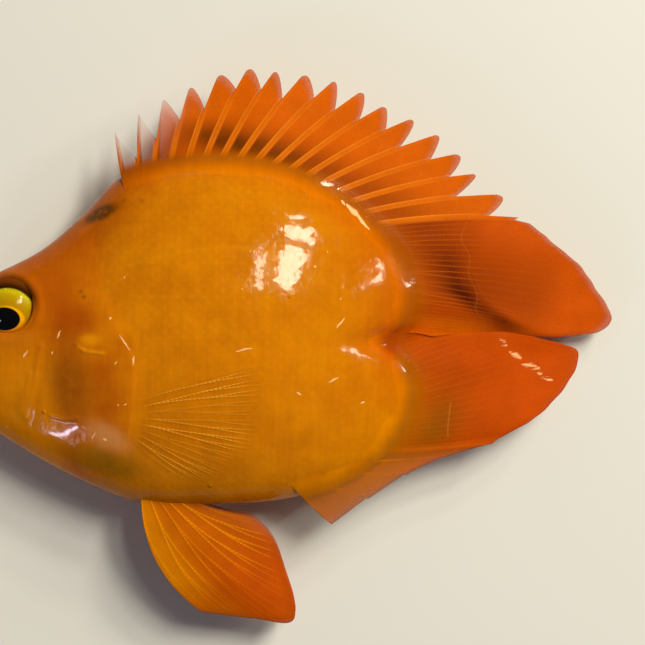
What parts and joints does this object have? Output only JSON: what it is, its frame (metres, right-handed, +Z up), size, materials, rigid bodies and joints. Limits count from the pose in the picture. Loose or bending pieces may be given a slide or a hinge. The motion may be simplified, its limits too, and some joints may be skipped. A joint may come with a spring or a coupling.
{
  "type": "blood parrot cichlid",
  "caption": "Still, life-size model of a young heart-shaped blood parrot cichlid, a tailless golden orange aquarium fish that lies on its side.",
  "frame": {"origin": "on the surface that the fish lies on, under the middle of its body, on the flat of its right flank", "axes": "+X towards the rear of the fish, +Y towards its back, +Z up, out of its left flank"},
  "size_m": [0.0804, 0.0643, 0.0178],
  "materials": {
    "body_skin": "wet scaled skin, golden orange",
    "head_skin": "wet smooth skin, reddish orange",
    "fin_membrane": "wet, part clear, orange with paler rays",
    "clear_fin": "wet, clear, with golden rays",
    "eye": "clear and glossy over a black pupil and a golden ring"
  },
  "bodies": {
    "root": {"head": "head_skin", "trunk": "body_skin", "hind_body": "body_skin", "upper_lip": "head_skin", "lower_lip": "head_skin", "eye_left": "eye", "eye_right": "eye", "gill_cover_left": "head_skin", "gill_cover_right": "head_skin", "pectoral_fin_left": "clear_fin", "pectoral_fin_right": "clear_fin", "pelvic_fin_left": "fin_membrane", "pelvic_fin_right": "fin_membrane", "dorsal_fin_spiny": "fin_membrane", "dorsal_fin_soft": "fin_membrane", "anal_fin_spiny": "fin_membrane", "anal_fin_soft": "fin_membrane"}
  },
  "joints": []
}
